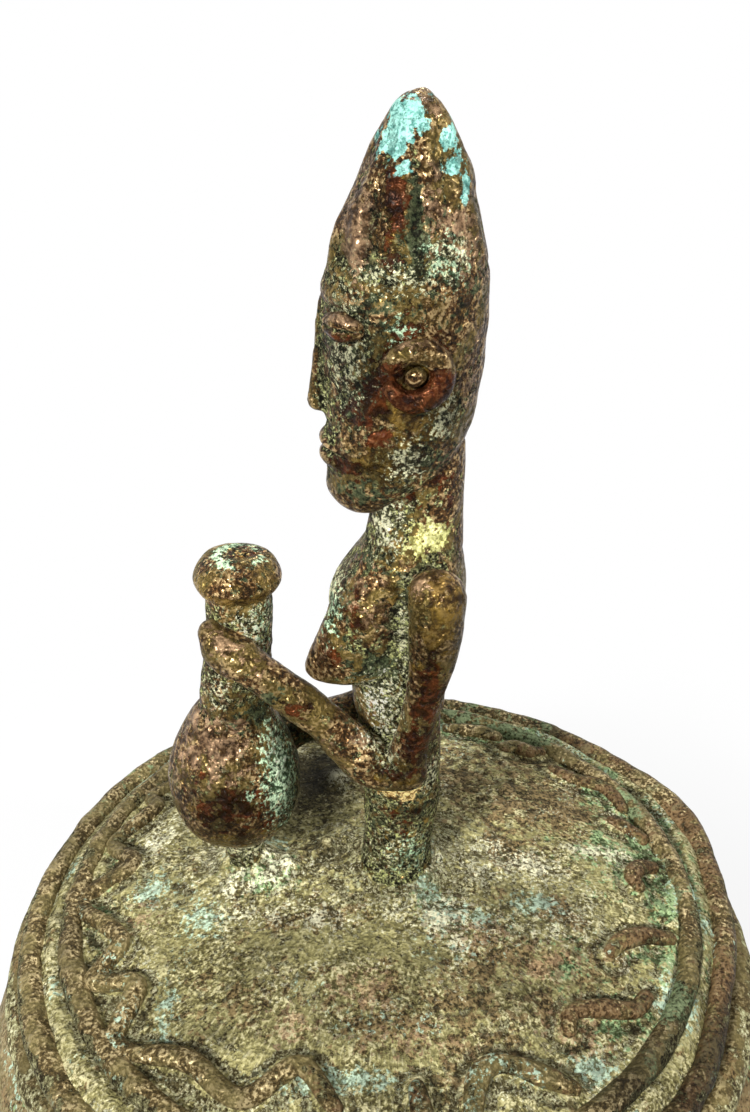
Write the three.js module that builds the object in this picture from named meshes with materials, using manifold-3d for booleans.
// A round bronze vessel whose lid carries a half figure with a flask.
// Millimetres, +Z up. The pot stands on z = 0 with its axis on Z, and the figure looks towards -X.

import * as THREE from 'three';
import { mergeVertices } from 'three/addons/utils/BufferGeometryUtils.js';
import Module from 'manifold-3d';

const wasm = await Module();
wasm.setup();

// Pot
const bellyRadius = 78;
const bellyHeight = 42;
const rimHeight = 95;
const rimUpright = 8;
const mouthRadius = 58;
const rimWall = 4.5;
const potWall = 3.2;
const potFloor = 9;
const floorRadius = 30;
const footRadius = 48;
const footWall = 6;
const collarBead = 8;
const collarOverhang = 5.7;
const potBead = 4;
const bandHeight = 18;
const potWaves = 16;

// Lid
const lidRadius = 65;
const lidWall = 2.4;
const crownRise = 12.3;
const domePower = 2.4;
const edgeBead = 4.8;
const ringGroove = 2.6;
const innerBead = 4.2;
const locatingWall = 2.4;
const locatingDepth = 9;
const waveBead = 2.6;

// The lid was shaped by hand, so its edge swells and dips: the angle of each swell and its spread in
// degrees, and its rise as a share of the lid's radius
const edgeSwells = [
  { angle: 22, rise: 0.05, spread: 13 },
  { angle: 34, rise: 0.018, spread: 14 },
  { angle: 55, rise: 0.031, spread: 15 },
  { angle: 76, rise: 0.014, spread: 12 },
  { angle: -20, rise: -0.025, spread: 14 },
  { angle: 165, rise: -0.005, spread: 18 },
  { angle: 130, rise: 0.011, spread: 20 },
  { angle: -135, rise: 0.014, spread: 25 },
];

// Figure
const figureX = 3.5;
const waistHeight = 35;
const waistDepth = 12.6;
const waistWidth = 13;
const torsoHeight = 33;
const torsoDepth = 16;
const torsoWidth = 16.5;
const neckLength = 11;
const neckDepth = 14.4;
const neckWidth = 12;
const headHeight = 59.4;
const headDepth = 23.3;
const headWidth = 19.6;
const breastReach = 12.7;
const breastHeight = 20;
const upperArmThickness = 8.6;
const forearmThickness = 6.6;
const elbowHeight = 29.5;
const featureBead = 2.8;

// Flask
const flaskX = -25;
const flaskLift = 7.5;
const flaskRadius = 11.1;
const flaskBodyHeight = 27;
const flaskNeckRadius = 5.2;
const flaskNeckLength = 23;
const stopperRadius = 7;
const stopperHeight = 7.1;

// Clearances
const seatGap = 0.3;
const lidPlay = 1.2;

// How finely round forms are cut
const roundSteps = 32;
const beadSides = 8;
const stemSides = 14;
const limbSides = 8;

const degrees = THREE.MathUtils.degToRad;
const toDegrees = THREE.MathUtils.radToDeg;
const halfTurn = toDegrees(Math.PI);
const mix = THREE.MathUtils.lerp;

// Sizes that follow from the driving ones
const shoulderTop = rimHeight - rimUpright;
const neckRadius = mouthRadius + rimWall;
const bellyRingHeight = bellyHeight;
const shoulderRingHeight = bellyHeight + bandHeight;
const seatHeight = rimHeight + seatGap;
const plateRadius = lidRadius - edgeBead / 2;
const seatInner = mouthRadius - lidPlay / 2;
const edgeTop = seatHeight + lidWall;
const crownHeight = edgeTop + crownRise;
const innerRingRadius = lidRadius - edgeBead - ringGroove - innerBead / 2;
const torsoFoot = crownHeight + waistHeight;
const shoulderHeight = torsoFoot + torsoHeight;
const chinHeight = shoulderHeight + neckLength * 0.36;

// Materials

function bronze(color, roughness) {
  return new THREE.MeshStandardMaterial({ color, roughness, metalness: 0.6 });
}

const fieldBronze = bronze(0x7d7350, 0.62);
const wornBronze = bronze(0x5a4029, 0.34);
const potBronze = bronze(0x6c6040, 0.55);
const figureBronze = bronze(0x4d3a26, 0.42);
const crustedBronze = bronze(0x7a8266, 0.72);

// Solids

function solidOf(geometry) {
  const bare = geometry.clone();
  bare.deleteAttribute('normal');
  bare.deleteAttribute('uv');
  const merged = mergeVertices(bare, 1e-4);
  const index = merged.index.array;
  const faces = [];
  for (let i = 0; i < index.length; i += 3) {
    const [a, b, c] = [index[i], index[i + 1], index[i + 2]];
    if (a !== b && b !== c && c !== a) faces.push(a, b, c);
  }
  const mesh = new wasm.Mesh({
    numProp: 3,
    vertProperties: Float32Array.from(merged.attributes.position.array),
    triVerts: Uint32Array.from(faces),
  });
  return new wasm.Manifold(mesh);
}

function geometryOf(solid) {
  const { vertProperties, triVerts } = solid.getMesh();
  const geometry = new THREE.BufferGeometry();
  geometry.setAttribute('position', new THREE.BufferAttribute(Float32Array.from(vertProperties), 3));
  geometry.setIndex(Array.from(triVerts));
  geometry.computeVertexNormals();
  return geometry;
}

// A piece laid on others is pressed to their shape: it loses what they hold, and its largest part stays
function seated(piece, ...carriers) {
  let left = piece;
  for (const carrier of carriers) left = left.subtract(carrier);
  const parts = left.decompose();
  return parts.reduce((best, part) => (part.volume() > best.volume() ? part : best));
}

// Revolved forms. A profile is a list of radius and height, run anticlockwise round its material
function lathe(profile, shape = (geometry) => geometry, steps = roundSteps) {
  const points = profile.map(([radius, height]) => new THREE.Vector2(radius, height));
  const geometry = new THREE.LatheGeometry(points, steps);
  geometry.rotateX(Math.PI / 2);
  return solidOf(shape(geometry));
}

// A bead is a round thread laid in a ring, with the side that lies on its carrier pressed to it
function bead(radius, height, thickness, press, shape) {
  const profile = [];
  for (let i = 0; i <= beadSides; i += 1) {
    const angle = ((i + 0.5) / beadSides) * 2 * Math.PI;
    const reach = thickness / 2;
    profile.push(press(radius + reach * Math.cos(angle), height + reach * Math.sin(angle)));
  }
  return lathe(profile, shape);
}

// The swell of the lid's edge grows from nothing at the mouth to its full size at the plate's rim
function edgeSwell(angle) {
  let swell = 0;
  for (const { angle: middle, rise, spread } of edgeSwells) {
    const away = THREE.MathUtils.euclideanModulo(angle - middle + halfTurn, 2 * halfTurn) - halfTurn;
    swell += lidRadius * rise * Math.exp(-((away / spread) ** 2));
  }
  return swell;
}

function swollen(geometry) {
  const position = geometry.attributes.position;
  for (let i = 0; i < position.count; i += 1) {
    const x = position.getX(i);
    const y = position.getY(i);
    const radius = Math.hypot(x, y);
    const weight = THREE.MathUtils.smoothstep(radius, seatInner, plateRadius);
    const swell = edgeSwell(THREE.MathUtils.radToDeg(Math.atan2(y, x))) * weight;
    const factor = radius > 0 ? (radius + swell) / radius : 1;
    position.setX(i, x * factor);
    position.setY(i, y * factor);
  }
  return geometry;
}

// Lofts

// Rings of points become one closed skin, with a fan at each end
function loft(rings, firstTip, lastTip) {
  const sides = rings[0].length;
  const points = [...rings.flat(), firstTip, lastTip];
  const first = points.length - 2;
  const last = points.length - 1;
  const faces = [];
  for (let side = 0; side < sides; side += 1) {
    const next = (side + 1) % sides;
    faces.push(first, next, side);
    for (let ring = 0; ring < rings.length - 1; ring += 1) {
      const [a, b] = [ring * sides + side, ring * sides + next];
      const [c, d] = [a + sides, b + sides];
      faces.push(a, b, d, a, d, c);
    }
    const end = (rings.length - 1) * sides;
    faces.push(last, end + side, end + next);
  }
  const geometry = new THREE.BufferGeometry().setFromPoints(points);
  geometry.setIndex(faces);
  return solidOf(geometry);
}

// A stem is a stack of level ellipses. Each station is height, front x, back x and half width
function stem(stations, rings = 12) {
  const heights = stations.map((station) => station[0]);
  const bottom = heights[0];
  const top = heights[heights.length - 1];

  function slope(i, key) {
    const before = stations[Math.max(i - 1, 0)];
    const after = stations[Math.min(i + 1, stations.length - 1)];
    return (after[key] - before[key]) / (after[0] - before[0]);
  }

  function outline(height, key) {
    let i = 0;
    while (i < stations.length - 2 && height > heights[i + 1]) i += 1;
    const span = heights[i + 1] - heights[i];
    const t = THREE.MathUtils.clamp((height - heights[i]) / span, 0, 1);
    const start = stations[i][key];
    const end = stations[i + 1][key];
    const bend = t * (1 - t) * ((1 - t) * (slope(i, key) * span - (end - start))
      - t * (slope(i + 1, key) * span - (end - start)));
    return mix(start, end, t) + bend;
  }

  function at(height) {
    const front = outline(height, 1);
    const back = outline(height, 2);
    return { middle: (front + back) / 2, reach: (back - front) / 2, half: outline(height, 3) };
  }

  // A point on the skin, at an angle round from the front, towards the figure's left when positive
  function skin(height, angle, lift = 0) {
    const { middle, reach, half } = at(height);
    const turn = degrees(angle);
    const x = middle - (reach + lift) * Math.cos(turn);
    const y = -(half + lift) * Math.sin(turn);
    return new THREE.Vector3(x, y, height);
  }

  function solid(grow = 0) {
    const skins = [];
    for (let i = 0; i <= rings; i += 1) {
      const t = i / rings;
      const height = mix(bottom, top, (1 - Math.cos(Math.PI * t)) / 2 * 0.35 + t * 0.65);
      const { middle, reach, half } = at(height);
      const ring = [];
      for (let side = 0; side < stemSides; side += 1) {
        const turn = (side / stemSides) * 2 * Math.PI;
        const x = middle + (Math.max(reach, 0.2) + grow) * Math.cos(turn);
        const y = (Math.max(half, 0.2) + grow) * Math.sin(turn);
        ring.push(new THREE.Vector3(x, y, mix(height - grow, height + grow, t)));
      }
      skins.push(ring);
    }
    const foot = new THREE.Vector3(at(bottom).middle, 0, bottom - grow);
    const head = new THREE.Vector3(at(top).middle, 0, top + grow);
    return loft(skins, foot, head);
  }

  return { at, skin, solid, bottom, top };
}

// A limb is a rolled piece along a curve, thick or thin as its radii say, with round ends
function limb(points, radii, steps, grow = 0, sides = limbSides) {
  const curve = new THREE.CatmullRomCurve3(points, false, 'centripetal');
  const frames = curve.computeFrenetFrames(steps, false);
  const endSteps = 2;

  function ringAt(place, i, radius, shift) {
    const centre = place.clone().addScaledVector(frames.tangents[i], shift);
    const ring = [];
    for (let side = 0; side < sides; side += 1) {
      const turn = (side / sides) * 2 * Math.PI;
      const point = centre.clone();
      point.addScaledVector(frames.normals[i], radius * Math.cos(turn));
      point.addScaledVector(frames.binormals[i], radius * Math.sin(turn));
      ring.push(point);
    }
    return ring;
  }

  function radiusAt(t) {
    const place = t * (radii.length - 1);
    const i = Math.min(Math.floor(place), radii.length - 2);
    return mix(radii[i], radii[i + 1], place - i) + grow;
  }

  const rings = [];
  const start = curve.getPointAt(0);
  const end = curve.getPointAt(1);
  for (let k = 1; k <= endSteps; k += 1) {
    const angle = (k / (endSteps + 1)) * Math.PI / 2;
    rings.push(ringAt(start, 0, radiusAt(0) * Math.sin(angle), -radiusAt(0) * Math.cos(angle)));
  }
  for (let i = 0; i <= steps; i += 1) {
    rings.push(ringAt(curve.getPointAt(i / steps), i, radiusAt(i / steps), 0));
  }
  for (let k = endSteps; k >= 1; k -= 1) {
    const angle = (k / (endSteps + 1)) * Math.PI / 2;
    rings.push(ringAt(end, steps, radiusAt(1) * Math.sin(angle), radiusAt(1) * Math.cos(angle)));
  }
  const firstTip = start.addScaledVector(frames.tangents[0], -radiusAt(0));
  const lastTip = end.addScaledVector(frames.tangents[steps], radiusAt(1));
  return loft(rings, firstTip, lastTip);
}

// A thread is a wax wire of even thickness laid along a curve, pressed to its carrier like a bead
function thread(points, thickness, steps, press) {
  const section = new THREE.Shape();
  section.absarc(0, 0, thickness / 2, 0, 2 * Math.PI);
  const path = new THREE.CatmullRomCurve3(points, false, 'centripetal');
  const geometry = new THREE.ExtrudeGeometry(section, { steps, curveSegments: 3, extrudePath: path });
  if (!press) return geometry;
  const position = geometry.attributes.position;
  for (let i = 0; i < position.count; i += 1) {
    const [x, y, z] = [position.getX(i), position.getY(i), position.getZ(i)];
    const radius = Math.hypot(x, y);
    const [pressedRadius, pressedHeight] = press(radius, z);
    position.setXYZ(i, x * pressedRadius / radius, y * pressedRadius / radius, pressedHeight);
  }
  return geometry;
}

// Pot

// Outer skin of the pot at an inset: a round lower half, a drawn-in shoulder and an upright neck
function potOutline(inset, upright, top) {
  const steps = 5;
  const outline = [];
  const base = potFloor + inset;
  const widest = bellyRadius - inset;
  for (let i = 0; i <= steps; i += 1) {
    const turn = (i / steps) * Math.PI / 2;
    const radius = floorRadius + (widest - floorRadius) * Math.sin(turn);
    outline.push([radius, bellyHeight - (bellyHeight - base) * Math.cos(turn)]);
  }
  for (let i = 1; i <= steps; i += 1) {
    const turn = (i / steps) * Math.PI / 2;
    const radius = widest - (widest - upright) * (1 - Math.cos(turn));
    outline.push([radius, bellyHeight + (shoulderTop - inset - bellyHeight) * Math.sin(turn)]);
  }
  outline.push([upright, top]);
  return outline;
}

function potBody() {
  const outer = potOutline(0, neckRadius, rimHeight);
  const inner = potOutline(potWall, mouthRadius, rimHeight);
  return lathe([[0, potFloor], ...outer, ...inner.reverse(), [0, potFloor + potWall]]);
}

// The pot's outer radius at a height above its widest place
function potRadiusAt(height) {
  if (height > shoulderTop) return neckRadius;
  const turn = Math.asin(THREE.MathUtils.clamp((height - bellyHeight) / (shoulderTop - bellyHeight), -1, 1));
  return bellyRadius - (bellyRadius - neckRadius) * (1 - Math.cos(turn));
}

// The height of the pot's underside at a radius
function potUnderside(radius) {
  const share = THREE.MathUtils.clamp((radius - floorRadius) / (bellyRadius - floorRadius), 0, 1);
  return bellyHeight - (bellyHeight - potFloor) * Math.sqrt(1 - share * share);
}

function pressedToPot(radius, height) {
  return [Math.max(radius, potRadiusAt(height) + seatGap), height];
}

// The foot is a short flared ring whose top meets the round of the pot
function potFootRing() {
  const inner = footRadius - footWall;
  const flare = footWall / 4;
  return lathe([
    [inner, 0],
    [footRadius, 0],
    [footRadius + flare, flare],
    [footRadius, potFloor / 2],
    [footRadius, potUnderside(footRadius) - seatGap],
    [inner, potUnderside(inner) - seatGap],
    [inner, 0],
  ]);
}

// The collar's top stays under the lid's edge ring
function potCollar() {
  const height = rimHeight - collarBead / 2;
  return bead(neckRadius + collarOverhang - collarBead / 2, height, collarBead, pressedToPot);
}

function potRing(height) {
  return bead(potRadiusAt(height) + potBead / 4, height, potBead, pressedToPot);
}

// The wave runs midway between the two plain rings and is laid in two lengths
function potWave(startAngle) {
  const middle = (shoulderRingHeight + bellyRingHeight) / 2;
  const swing = (shoulderRingHeight - bellyRingHeight) / 2 - potBead;
  const waves = potWaves / 2;
  const perWave = 5;
  const endGap = halfTurn / potWaves / 6;
  const points = [];
  for (let i = 0; i <= waves * perWave; i += 1) {
    const t = i / (waves * perWave);
    const angle = degrees(startAngle + mix(endGap, halfTurn - endGap, t));
    const height = middle + swing * Math.cos(t * waves * 2 * Math.PI);
    const radius = potRadiusAt(height) + waveBead / 4;
    points.push(new THREE.Vector3(radius * Math.cos(angle), radius * Math.sin(angle), height));
  }
  return solidOf(thread(points, waveBead * 1.2, waves * perWave, pressedToPot));
}

// Lid

function domeTop(radius) {
  return edgeTop + crownRise * (1 - Math.min(radius / plateRadius, 1) ** domePower);
}

function domeUnder(radius) {
  return domeTop(radius) - lidWall;
}

// A domed plate, flat underneath where it rests on the pot's rim
function lidPlate(grow = 0) {
  const steps = 6;
  const rim = plateRadius + grow;
  const top = [];
  const under = [];
  for (let i = 0; i <= steps; i += 1) {
    const share = Math.sqrt(i / steps);
    top.push([rim * share, domeTop(plateRadius * share) + grow]);
    under.push([seatInner * share, domeUnder(seatInner * share) - grow]);
  }
  const seat = [[seatInner, seatHeight - grow], [rim, seatHeight - grow]];
  return lathe([...under, ...seat, ...top.reverse()], swollen);
}

function lidLocatingRing() {
  const outer = mouthRadius - lidPlay;
  const inner = outer - locatingWall;
  const bottom = seatHeight - locatingDepth;
  const lead = locatingWall / 3;
  return lathe([
    [inner, bottom],
    [outer - lead, bottom],
    [outer, bottom + lead * 2],
    [outer, domeUnder(outer) - seatGap],
    [inner, domeUnder(inner) - seatGap],
    [inner, bottom],
  ]);
}

function pressedToLid(radius, height) {
  return [radius, Math.max(height, domeTop(radius) + seatGap)];
}

function unpressed(radius, height) {
  return [radius, height];
}

// The edge ring laps the plate's rim, over it and outside it
function lidEdgeRing() {
  const round = bead(plateRadius, seatHeight + edgeBead / 2, edgeBead, unpressed, swollen);
  return seated(round, lidPlate(seatGap));
}

function lidInnerRing(grow = 0) {
  const height = domeTop(innerRingRadius) + innerBead / 6;
  return bead(innerRingRadius, height, innerBead + 2 * grow, grow > 0 ? unpressed : pressedToLid, swollen);
}

// Where each length of the wavy thread turns: angle round the lid, and distance from its centre when
// the inner ring's radius is as given here
const turnsRadius = 55.5;
const waveLengths = {
  wave_thread_left: [
    [145, 51.3], [151.5, 52.1], [154.5, 48.8], [167, 52.2], [174.5, 46.2], [183, 54.1], [197.5, 46.9],
    [203.5, 52.5], [210, 46.9], [218, 53.7], [231.5, 48.3], [244.5, 49.1], [252.5, 42], [261.5, 47],
  ],
  wave_thread_front: [[277, 44], [277.5, 50]],
  hook_thread_front: [[286, 49.2], [288, 45.5], [291.5, 43.3], [296, 43.9], [305, 51.1]],
  hook_thread_front_right: [[312, 44.3], [315.5, 42.9], [320.5, 45.3], [326, 49.7], [330, 50.3]],
  hook_thread_right: [[336, 42.9], [340, 44], [344, 46.8], [346.5, 51.6]],
  curl_thread_right: [[358.5, 46.9], [361, 46.2], [364.5, 47.9], [365.5, 51]],
  curl_thread_back_right: [[14.5, 51.9], [17.5, 50.2], [20, 47.9]],
  hook_thread_back_right: [[24.5, 53], [29, 54.4], [33, 54.1], [36, 50.2], [39, 48.6], [42, 48.3]],
  curl_thread_back: [[49.5, 52.4], [51, 49.8], [54.5, 48.6], [56, 46.4]],
  hook_thread_back: [[60.5, 50.6], [65, 50.6], [72.5, 48.5]],
  wave_thread_back: [[80, 52], [88, 46], [97, 53], [106, 46], [115, 52.5], [124, 46], [132, 52], [138, 48]],
};

function waveThread(turns) {
  const scale = innerRingRadius / turnsRadius;
  const points = turns.map(([angle, distance]) => {
    const radius = distance * scale;
    const turn = degrees(angle);
    const height = domeTop(radius) + waveBead * 0.22;
    return new THREE.Vector3(radius * Math.cos(turn), radius * Math.sin(turn), height);
  });
  const laid = thread(points, waveBead, (turns.length - 1) * 4, pressedToLid);
  return seated(solidOf(swollen(laid)), lidInnerRing(seatGap));
}

// Figure

// Stations of a stem from shares of its own height, depth and width
function stemFrom(foot, height, depth, width, centre, shares, rings) {
  const stations = shares.map(([rise, front, back, half]) => [
    foot + height * rise,
    centre + depth * front,
    centre + depth * back,
    (width / 2) * half,
  ]);
  return stem(stations, rings);
}

const waist = stemFrom(crownHeight, waistHeight, waistDepth, waistWidth, figureX, [
  [-0.1, -0.64, 0.58, 1.24],
  [0.02, -0.55, 0.49, 1.06],
  [0.12, -0.49, 0.46, 1],
  [0.5, -0.52, 0.52, 1.02],
  [0.85, -0.56, 0.51, 1.1],
  [1.12, -0.6, 0.56, 1.2],
], 8);

const torso = stemFrom(torsoFoot, torsoHeight, torsoDepth, torsoWidth, figureX, [
  [0, -0.49, 0.44, 0.9],
  [0.18, -0.52, 0.47, 0.96],
  [0.45, -0.52, 0.57, 1.02],
  [0.7, -0.48, 0.6, 1.1],
  [0.88, -0.41, 0.56, 0.98],
  [1, -0.36, 0.5, 0.7],
], 9);

const neck = stemFrom(shoulderHeight - neckLength * 0.25, neckLength * 1.6, neckDepth, neckWidth, figureX, [
  [0, -0.44, 0.63, 1.1],
  [0.4, -0.36, 0.62, 1],
  [1, -0.34, 0.62, 1],
], 6);

const headX = figureX - headDepth * 0.017;
const hairline = 0.62;

const headShares = [
  [0, -0.36, -0.12, 0.34],
  [0.03, -0.44, 0.02, 0.54],
  [0.09, -0.475, 0.24, 0.74],
  [0.18, -0.48, 0.38, 0.87],
  [0.3, -0.49, 0.46, 0.95],
  [0.42, -0.5, 0.495, 0.99],
  [0.52, -0.495, 0.5, 1],
  [0.62, -0.47, 0.495, 0.95],
  [0.72, -0.39, 0.455, 0.83],
  [0.83, -0.25, 0.37, 0.63],
  [0.92, -0.145, 0.265, 0.43],
  [0.98, -0.065, 0.17, 0.23],
  [1, 0, 0.1, 0.08],
];

const head = stemFrom(chinHeight, headHeight, headDepth, headWidth, headX,
  headShares.filter(([rise]) => rise <= hairline + 0.1), 14);

const coiffure = stemFrom(chinHeight, headHeight, headDepth, headWidth, headX,
  headShares.filter(([rise]) => rise >= hairline - 0.1), 9);

// The parting between face and coiffure is a level cut through the tapering head
function levelSlab(below, height) {
  const size = headHeight * 4;
  const slab = new THREE.BoxGeometry(size, size, size);
  slab.translate(0, 0, below ? height - size / 2 : height + size / 2);
  return solidOf(slab);
}

const hairHeight = chinHeight + headHeight * hairline;

function figureHead(grow = 0) {
  return head.solid(grow).subtract(levelSlab(false, hairHeight + grow));
}

function figureCoiffure() {
  return coiffure.solid().subtract(levelSlab(true, hairHeight + seatGap));
}

// A point on the head by its height between chin and tip, as a share, and its angle from the front
function onHead(share, angle, lift) {
  return head.skin(chinHeight + headHeight * share, angle, lift);
}

// Face: eyes at half the head's height, nose base midway from there to the chin, and the mouth
// a third of the way from the nose base to the chin
const eyeLine = 0.5;
const noseBase = 0.25;
const mouthLine = noseBase * 2 / 3;

function eye(side) {
  const bean = new THREE.SphereGeometry(featureBead, limbSides, 8);
  bean.scale(0.85, 1.15, 0.8);
  const place = onHead(eyeLine, side * 42, -featureBead * 0.05);
  bean.rotateZ(side * degrees(42));
  bean.translate(place.x, place.y, place.z);
  return seated(solidOf(bean), figureHead(seatGap));
}

// The ear is a thread curled into an open C round a small pellet
function earPoint(side, turn, reach) {
  const earMiddle = (eyeLine + noseBase) / 2;
  const angle = 97 + toDegrees(reach * Math.cos(turn) / (headDepth / 2));
  const share = earMiddle + 0.03 + reach * Math.sin(turn) / headHeight;
  return onHead(share, side * angle, featureBead * 0.2);
}

function ear(side) {
  const points = [];
  const steps = 9;
  for (let i = 0; i <= steps; i += 1) {
    points.push(earPoint(side, degrees(mix(150, -150, i / steps)), featureBead * 1.3));
  }
  return seated(solidOf(thread(points, featureBead, steps)), figureHead(seatGap));
}

function earPellet(side) {
  const pellet = new THREE.SphereGeometry(featureBead * 0.5, 8, 6);
  const place = earPoint(side, 0, 0);
  pellet.translate(place.x, place.y, place.z);
  return seated(solidOf(pellet), figureHead(seatGap));
}

function nose() {
  const points = [
    onHead(eyeLine + 0.02, 0, -featureBead * 0.2),
    onHead(mix(noseBase, eyeLine, 0.5), 0, featureBead * 0.05),
    onHead(noseBase + 0.03, 0, featureBead * 0.25),
  ];
  const radii = [featureBead * 0.35, featureBead * 0.5, featureBead * 0.75];
  return seated(limb(points, radii, 5), figureHead(seatGap));
}

// Places along a lip, turned from the front of the face, and the lip's half thickness there as a
// share of the features' bead
const lipPlaces = [[-34, 0.18], [-17, 0.32], [0, 0.36], [17, 0.32], [34, 0.18]];

function lip(share) {
  const points = lipPlaces.map(([angle]) => onHead(share, angle, featureBead * 0.05));
  const radii = lipPlaces.map(([, thick]) => featureBead * thick);
  return seated(limb(points, radii, 8, 0, 6), figureHead(seatGap));
}

const lipStep = 0.021;

// A breast slopes forward and down from the chest to a blunt tip and is flat underneath.
// The right one is the shorter
function breast(side, grow = 0) {
  const root = figureX - torsoDepth * 0.16;
  const reach = breastReach * (side > 0 ? 1 : 0.86);
  const form = stemFrom(torsoFoot + torsoHeight * 0.265, breastHeight, reach, torsoWidth * 0.47, root, [
    [0, -0.88, 0.2, 0.6],
    [0.08, -0.99, 0.25, 0.95],
    [0.4, -0.9, 0.25, 1],
    [0.58, -0.8, 0.25, 1],
    [0.87, -0.62, 0.25, 0.95],
    [1, -0.5, 0.2, 0.8],
  ], 8);
  return form.solid(grow).translate([0, -side * torsoWidth * 0.25, 0]);
}

// Flask

const flaskFoot = crownHeight + flaskLift;
const flaskLean = 0.06;

const flaskBodyForm = stemFrom(flaskFoot, flaskBodyHeight, flaskRadius, flaskRadius * 2, flaskX, [
  [0, -0.3, 0.3, 0.3],
  [0.05, -0.56, 0.56, 0.56],
  [0.2, -0.88, 0.88, 0.88],
  [0.42, -1, 1.0, 1],
  [0.65, -0.95, 0.94, 0.92],
  [0.85, -0.73, 0.76, 0.72],
  [1, -0.52, 0.64, 0.56],
], 10);

const neckLap = flaskNeckLength * 0.087;
const flaskNeckFoot = flaskFoot + flaskBodyHeight - neckLap;
const flaskNeckX = flaskX + flaskBodyHeight * flaskLean;

const flaskNeckRise = flaskNeckLength + neckLap;
const neckWide = flaskNeckRadius * 2;
const flaskNeckForm = stemFrom(flaskNeckFoot, flaskNeckRise, flaskNeckRadius, neckWide, flaskNeckX, [
  [0, -1.3, 1.06, 1.18],
  [0.35, -1.12, 1.06, 1.08],
  [0.8, -0.84, 1.14, 1],
  [1, -0.84, 1.18, 1.02],
], 6);

function flaskFootStub() {
  const ground = domeTop(Math.abs(flaskX));
  const middle = flaskX + flaskRadius * 0.09;
  const width = flaskRadius * 0.45;
  const stations = [
    [ground - lidWall / 2, 1.3],
    [ground + lidWall, 1],
    [flaskFoot + flaskBodyHeight * 0.11, 0.9],
  ];
  const stub = stem(stations.map(([height, share]) => [
    height,
    middle - width * share,
    middle + width * share,
    width * share,
  ]), 4);
  return seated(stub.solid(), lidPlate(seatGap), flaskBodyForm.solid(seatGap));
}

// A mushroom cap with a rolled lip, set on the neck
function flaskStopper() {
  const r = stopperRadius;
  const h = stopperHeight;
  const profile = [
    [0, 0], [r * 0.64, 0], [r * 0.82, h * 0.08], [r, h * 0.36], [r * 0.96, h * 0.54], [r * 0.78, h * 0.78],
    [r * 0.5, h * 0.92], [r * 0.2, h * 0.99], [0, h],
  ];
  const cap = lathe(profile, undefined, limbSides * 2);
  const top = flaskNeckForm.at(flaskNeckForm.top).middle;
  return seated(cap.translate([top, 0, flaskNeckForm.top - h * 0.12]), flaskNeckForm.solid(seatGap));
}

// Arms, each from shoulder to elbow to the hand on the flask

function shoulder(side) {
  const height = shoulderHeight - upperArmThickness * 0.85;
  const y = -side * (torsoWidth / 2 + upperArmThickness * 0.24);
  return new THREE.Vector3(figureX + torsoDepth * 0.28, y, height);
}

function elbow(side) {
  const y = -side * (torsoWidth / 2 + forearmThickness * 0.3);
  return new THREE.Vector3(figureX + waistDepth * 0.02, y, crownHeight + elbowHeight);
}

function upperArm(side, grow = 0) {
  const from = shoulder(side);
  const to = elbow(side);
  const middle = from.clone().lerp(to, 0.55);
  middle.x += upperArmThickness * (side > 0 ? 0.05 : 0.02);
  middle.y -= side * upperArmThickness * 0.12;
  const r = upperArmThickness / 2;
  return limb([from, middle, to], [r * 1.05, r * 0.84, r * 0.74, r * 0.86], 8, grow);
}

// The left hand grips the flask's neck and the right hand holds its body
function grip(side) {
  if (side > 0) {
    const height = mix(flaskNeckForm.bottom, flaskNeckForm.top, 0.64);
    const { middle } = flaskNeckForm.at(height);
    const near = flaskNeckRadius + forearmThickness * 0.3;
    return new THREE.Vector3(middle + flaskNeckRadius * 0.2, -near, height);
  }
  const height = mix(flaskBodyForm.bottom, flaskBodyForm.top, 0.5);
  const { middle, reach } = flaskBodyForm.at(height);
  return new THREE.Vector3(middle + reach * 0.72, reach * 0.92, height);
}

// The forearm sags below the straight line from elbow to grip: the share of the way along, and the
// sag there as a share of the forearm's thickness
const leftSags = [[0.16, 0.49], [0.33, 0.43], [0.5, 0.2], [0.8, 0.06]];
const rightSags = [[0.3, 0.05], [0.68, -0.07]];

function forearm(side, grow = 0) {
  const from = elbow(side);
  const to = grip(side);
  const sags = side > 0 ? leftSags : rightSags;
  const between = sags.map(([share, sag]) => {
    const point = from.clone().lerp(to, share);
    point.z -= forearmThickness * sag;
    return point;
  });
  const r = forearmThickness / 2;
  return limb([from, ...between, to], [r * 1.15, r * 1.2, r * 1.02, r, r], 8, grow);
}

// A mitten hand curls round the flask, without fingers
function hand(side) {
  const from = grip(side);
  const r = forearmThickness / 2;
  const round = side > 0 ? flaskNeckForm : flaskBodyForm;
  const { middle, reach } = round.at(from.z);
  const hug = reach + r * (side > 0 ? 0.15 : 0.6);
  const turns = side > 0 ? [84, 67, 52] : [-118, -98, -80];
  const rise = side > 0 ? r * 0.5 : 0;
  const points = turns.map((angle, i) => {
    const turn = degrees(angle);
    return new THREE.Vector3(middle - hug * Math.cos(turn), -hug * Math.sin(turn), from.z + rise * i);
  });
  const mitten = limb(points, [r * 1.2, r * 1.15, r * 0.75], 5);
  return seated(mitten, flaskNeckForm.solid(seatGap), flaskBodyForm.solid(seatGap), forearm(side, seatGap));
}

// Scene graph

const vessel = new THREE.Group();
const pot = new THREE.Group();
const lid = new THREE.Group();
vessel.add(pot, lid);

function place(group, name, solid, material) {
  const mesh = new THREE.Mesh(geometryOf(solid), material);
  mesh.name = name;
  group.add(mesh);
}

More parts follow.
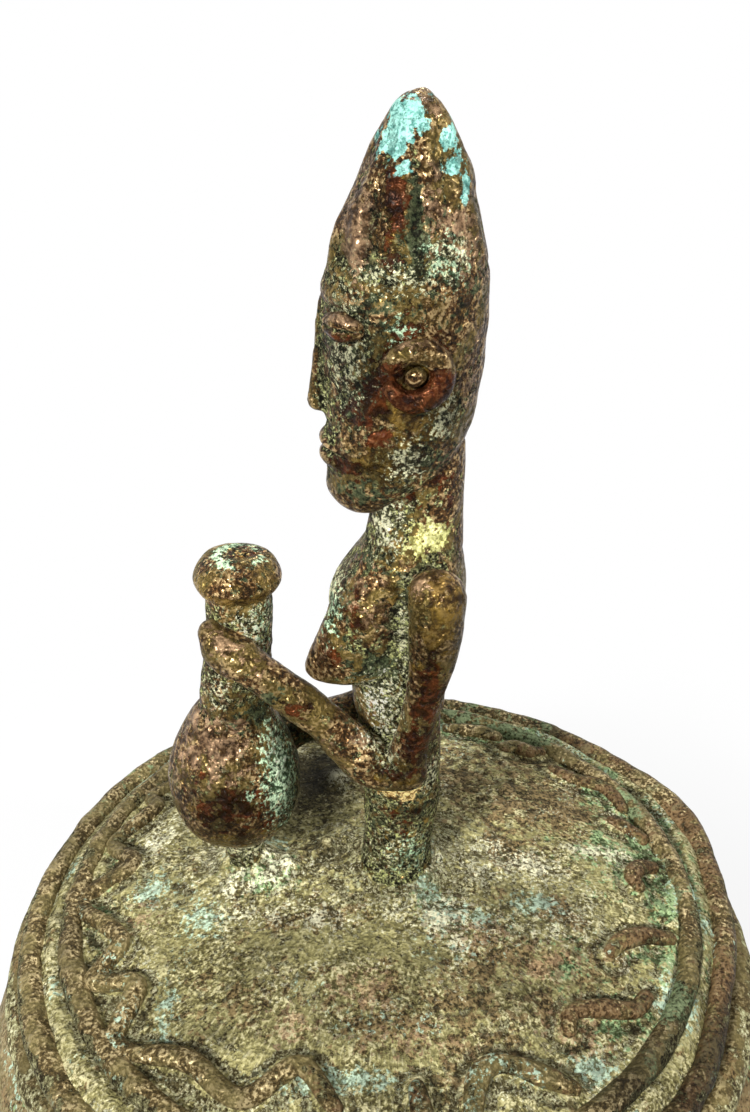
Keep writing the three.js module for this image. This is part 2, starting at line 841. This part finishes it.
place(pot, 'pot_body', potBody(), potBronze);
place(pot, 'pot_foot_ring', potFootRing(), potBronze);
place(pot, 'pot_collar', potCollar(), wornBronze);
place(pot, 'pot_shoulder_ring', potRing(shoulderRingHeight), wornBronze);
place(pot, 'pot_belly_ring', potRing(bellyRingHeight), wornBronze);
place(pot, 'pot_wave_front', potWave(halfTurn), wornBronze);
place(pot, 'pot_wave_back', potWave(0), wornBronze);

place(lid, 'lid_plate', lidPlate(), fieldBronze);
place(lid, 'lid_locating_ring', lidLocatingRing(), fieldBronze);
place(lid, 'lid_edge_ring', lidEdgeRing(), wornBronze);
place(lid, 'lid_inner_ring', lidInnerRing(), wornBronze);
for (const [name, turns] of Object.entries(waveLengths)) place(lid, name, waveThread(turns), wornBronze);

place(lid, 'figure_waist', seated(waist.solid(), lidPlate(seatGap), torso.solid(seatGap)), crustedBronze);
place(lid, 'figure_torso', torso.solid(), figureBronze);
place(lid, 'figure_neck', seated(neck.solid(), torso.solid(seatGap), figureHead(seatGap)), figureBronze);
place(lid, 'figure_head', figureHead(), figureBronze);
place(lid, 'figure_coiffure', figureCoiffure(), figureBronze);
place(lid, 'nose', nose(), figureBronze);
place(lid, 'lip_upper', lip(mouthLine + lipStep), wornBronze);
place(lid, 'lip_lower', lip(mouthLine - lipStep), wornBronze);

place(lid, 'flask_foot', flaskFootStub(), crustedBronze);
place(lid, 'flask_body', flaskBodyForm.solid(), fieldBronze);
place(lid, 'flask_neck', seated(flaskNeckForm.solid(), flaskBodyForm.solid(seatGap)), crustedBronze);
place(lid, 'flask_stopper', flaskStopper(), wornBronze);

for (const [word, side] of [['left', 1], ['right', -1]]) {
  const body = [torso.solid(seatGap), waist.solid(seatGap)];
  const chest = [...body, breast(side, seatGap)];
  const flask = [flaskBodyForm.solid(seatGap), flaskNeckForm.solid(seatGap)];
  place(lid, `breast_${word}`, seated(breast(side), ...body), figureBronze);
  place(lid, `eye_${word}`, eye(side), wornBronze);
  place(lid, `ear_${word}`, ear(side), wornBronze);
  place(lid, `ear_pellet_${word}`, earPellet(side), wornBronze);
  place(lid, `upper_arm_${word}`, seated(upperArm(side), ...chest), figureBronze);
  const forearmCarriers = [...chest, ...flask, upperArm(side, seatGap)];
  place(lid, `forearm_${word}`, seated(forearm(side), ...forearmCarriers), figureBronze);
  place(lid, `hand_${word}`, hand(side), figureBronze);
}

export default vessel;
